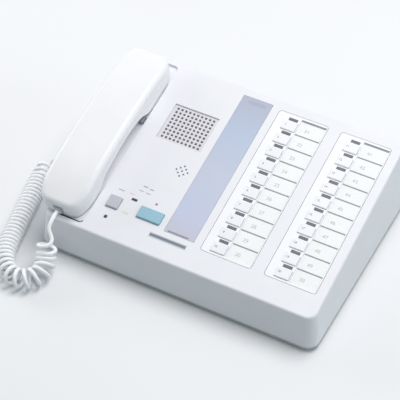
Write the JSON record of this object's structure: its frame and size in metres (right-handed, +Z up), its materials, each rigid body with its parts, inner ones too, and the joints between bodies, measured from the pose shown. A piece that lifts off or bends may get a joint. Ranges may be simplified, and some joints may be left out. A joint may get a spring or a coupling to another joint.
{
  "type": "desk intercom master station",
  "caption": "Wedge-shaped desk intercom console with a handset on a curly cord, speaker grille, talk key and two columns of selector keys with directory cards.",
  "frame": {"origin": "on the table, under the middle of the console and handset taken together", "axes": "+Z up, +Y from the user's edge to the back, +X to the user's right; the handset is at -X"},
  "size_m": [0.3715, 0.298, 0.1108],
  "materials": {
    "housing_plastic": "fine moulded texture",
    "base_plastic": "moulded",
    "handset_plastic": "smooth satin",
    "key_plastic": "satin",
    "grey_key_plastic": "satin",
    "teal_key_plastic": "satin",
    "strip_plastic": "printed film",
    "grille_plastic": "moulded",
    "dark_lens": "polished",
    "clear_cover": "clear acrylic",
    "card_paper": "paper card",
    "rubber": "matt",
    "steel": "plated",
    "cone_paper": "pressed paper",
    "circuit_board": "lacquered",
    "component_plastic": "moulded",
    "lamp_resin": "clear resin",
    "hook_plastic": "satin",
    "jack_plastic": "moulded",
    "plug_plastic": "clear",
    "cord_plastic": "satin"
  },
  "bodies": {
    "console": {"top_cover": "housing_plastic", "selector_panel_left": "housing_plastic", "selector_panel_right": "housing_plastic", "base_tray": "base_plastic", "name_strip": "strip_plastic", "speaker_grille": "grille_plastic", "lamp_windows": "dark_lens", "status_lamps": "dark_lens", "front_window": "dark_lens", "card_covers": "clear_cover", "directory_cards": "card_paper", "rubber_feet": "rubber", "microphone_boot": "rubber", "base_screws": "steel", "speaker_basket": "steel", "speaker_magnet": "steel", "microphone": "steel", "speaker_cone": "cone_paper", "selector_board": "circuit_board", "function_board": "circuit_board", "main_board": "circuit_board", "board_components": "component_plastic", "key_switches": "component_plastic", "line_connector": "component_plastic", "hook_switch": "component_plastic", "lamp_leds": "lamp_resin", "base_jack": "jack_plastic", "cord_plug_base": "plug_plastic", "cord_lead_handset": "cord_plastic", "cord_coil": "cord_plastic", "cord_lead_base": "cord_plastic"},
    "handset": {"handset_lower_shell": "handset_plastic", "handset_upper_shell": "handset_plastic", "receiver_capsule": "steel", "handset_microphone": "steel", "handset_jack": "jack_plastic", "cord_plug_handset": "plug_plastic"},
    "hook": {"hook_plunger": "hook_plastic"},
    "selector_key_01": {"selector_key_01": "key_plastic"},
    "selector_key_02": {"selector_key_02": "key_plastic"},
    "selector_key_03": {"selector_key_03": "key_plastic"},
    "selector_key_04": {"selector_key_04": "key_plastic"},
    "selector_key_05": {"selector_key_05": "key_plastic"},
    "selector_key_06": {"selector_key_06": "key_plastic"},
    "selector_key_07": {"selector_key_07": "key_plastic"},
    "selector_key_08": {"selector_key_08": "key_plastic"},
    "selector_key_09": {"selector_key_09": "key_plastic"},
    "selector_key_10": {"selector_key_10": "key_plastic"},
    "selector_key_11": {"selector_key_11": "key_plastic"},
    "selector_key_12": {"selector_key_12": "key_plastic"},
    "selector_key_13": {"selector_key_13": "key_plastic"},
    "selector_key_14": {"selector_key_14": "key_plastic"},
    "selector_key_15": {"selector_key_15": "key_plastic"},
    "selector_key_16": {"selector_key_16": "key_plastic"},
    "selector_key_17": {"selector_key_17": "key_plastic"},
    "selector_key_18": {"selector_key_18": "key_plastic"},
    "selector_key_19": {"selector_key_19": "key_plastic"},
    "selector_key_20": {"selector_key_20": "key_plastic"},
    "privacy_key": {"privacy_key": "grey_key_plastic"},
    "talk_key": {"talk_key": "teal_key_plastic"}
  },
  "joints": [
    {"name": "handset_lift", "type": "slide", "parent": "console", "child": "handset", "axis": [0, -0.2079, 0.9781], "range_m": [0, 0.06]},
    {"name": "hook_rise", "type": "slide", "parent": "console", "child": "hook", "axis": [0, -0.2079, 0.9781], "range_m": [0, 0.004]},
    {"name": "selector_key_01_press", "type": "slide", "parent": "console", "child": "selector_key_01", "axis": [0, 0.2079, -0.9781], "range_m": [0, 0.0012], "stiffness_N_per_m": 500, "springref_m": -0.0005},
    {"name": "selector_key_02_press", "type": "slide", "parent": "console", "child": "selector_key_02", "axis": [0, 0.2079, -0.9781], "range_m": [0, 0.0012], "stiffness_N_per_m": 500, "springref_m": -0.0005},
    {"name": "selector_key_03_press", "type": "slide", "parent": "console", "child": "selector_key_03", "axis": [0, 0.2079, -0.9781], "range_m": [0, 0.0012], "stiffness_N_per_m": 500, "springref_m": -0.0005},
    {"name": "selector_key_04_press", "type": "slide", "parent": "console", "child": "selector_key_04", "axis": [0, 0.2079, -0.9781], "range_m": [0, 0.0012], "stiffness_N_per_m": 500, "springref_m": -0.0005},
    {"name": "selector_key_05_press", "type": "slide", "parent": "console", "child": "selector_key_05", "axis": [0, 0.2079, -0.9781], "range_m": [0, 0.0012], "stiffness_N_per_m": 500, "springref_m": -0.0005},
    {"name": "selector_key_06_press", "type": "slide", "parent": "console", "child": "selector_key_06", "axis": [0, 0.2079, -0.9781], "range_m": [0, 0.0012], "stiffness_N_per_m": 500, "springref_m": -0.0005},
    {"name": "selector_key_07_press", "type": "slide", "parent": "console", "child": "selector_key_07", "axis": [0, 0.2079, -0.9781], "range_m": [0, 0.0012], "stiffness_N_per_m": 500, "springref_m": -0.0005},
    {"name": "selector_key_08_press", "type": "slide", "parent": "console", "child": "selector_key_08", "axis": [0, 0.2079, -0.9781], "range_m": [0, 0.0012], "stiffness_N_per_m": 500, "springref_m": -0.0005},
    {"name": "selector_key_09_press", "type": "slide", "parent": "console", "child": "selector_key_09", "axis": [0, 0.2079, -0.9781], "range_m": [0, 0.0012], "stiffness_N_per_m": 500, "springref_m": -0.0005},
    {"name": "selector_key_10_press", "type": "slide", "parent": "console", "child": "selector_key_10", "axis": [0, 0.2079, -0.9781], "range_m": [0, 0.0012], "stiffness_N_per_m": 500, "springref_m": -0.0005},
    {"name": "selector_key_11_press", "type": "slide", "parent": "console", "child": "selector_key_11", "axis": [0, 0.2079, -0.9781], "range_m": [0, 0.0012], "stiffness_N_per_m": 500, "springref_m": -0.0005},
    {"name": "selector_key_12_press", "type": "slide", "parent": "console", "child": "selector_key_12", "axis": [0, 0.2079, -0.9781], "range_m": [0, 0.0012], "stiffness_N_per_m": 500, "springref_m": -0.0005},
    {"name": "selector_key_13_press", "type": "slide", "parent": "console", "child": "selector_key_13", "axis": [0, 0.2079, -0.9781], "range_m": [0, 0.0012], "stiffness_N_per_m": 500, "springref_m": -0.0005},
    {"name": "selector_key_14_press", "type": "slide", "parent": "console", "child": "selector_key_14", "axis": [0, 0.2079, -0.9781], "range_m": [0, 0.0012], "stiffness_N_per_m": 500, "springref_m": -0.0005},
    {"name": "selector_key_15_press", "type": "slide", "parent": "console", "child": "selector_key_15", "axis": [0, 0.2079, -0.9781], "range_m": [0, 0.0012], "stiffness_N_per_m": 500, "springref_m": -0.0005},
    {"name": "selector_key_16_press", "type": "slide", "parent": "console", "child": "selector_key_16", "axis": [0, 0.2079, -0.9781], "range_m": [0, 0.0012], "stiffness_N_per_m": 500, "springref_m": -0.0005},
    {"name": "selector_key_17_press", "type": "slide", "parent": "console", "child": "selector_key_17", "axis": [0, 0.2079, -0.9781], "range_m": [0, 0.0012], "stiffness_N_per_m": 500, "springref_m": -0.0005},
    {"name": "selector_key_18_press", "type": "slide", "parent": "console", "child": "selector_key_18", "axis": [0, 0.2079, -0.9781], "range_m": [0, 0.0012], "stiffness_N_per_m": 500, "springref_m": -0.0005},
    {"name": "selector_key_19_press", "type": "slide", "parent": "console", "child": "selector_key_19", "axis": [0, 0.2079, -0.9781], "range_m": [0, 0.0012], "stiffness_N_per_m": 500, "springref_m": -0.0005},
    {"name": "selector_key_20_press", "type": "slide", "parent": "console", "child": "selector_key_20", "axis": [0, 0.2079, -0.9781], "range_m": [0, 0.0012], "stiffness_N_per_m": 500, "springref_m": -0.0005},
    {"name": "privacy_key_press", "type": "slide", "parent": "console", "child": "privacy_key", "axis": [0, 0.2079, -0.9781], "range_m": [0, 0.0015], "stiffness_N_per_m": 500, "springref_m": -0.0006},
    {"name": "talk_key_press", "type": "slide", "parent": "console", "child": "talk_key", "axis": [0, 0.2079, -0.9781], "range_m": [0, 0.0015], "stiffness_N_per_m": 500, "springref_m": -0.0006}
  ],
  "couplings": [
    {"joint": "hook_rise", "follows": "handset_lift", "ratio": 0.0666}
  ]
}
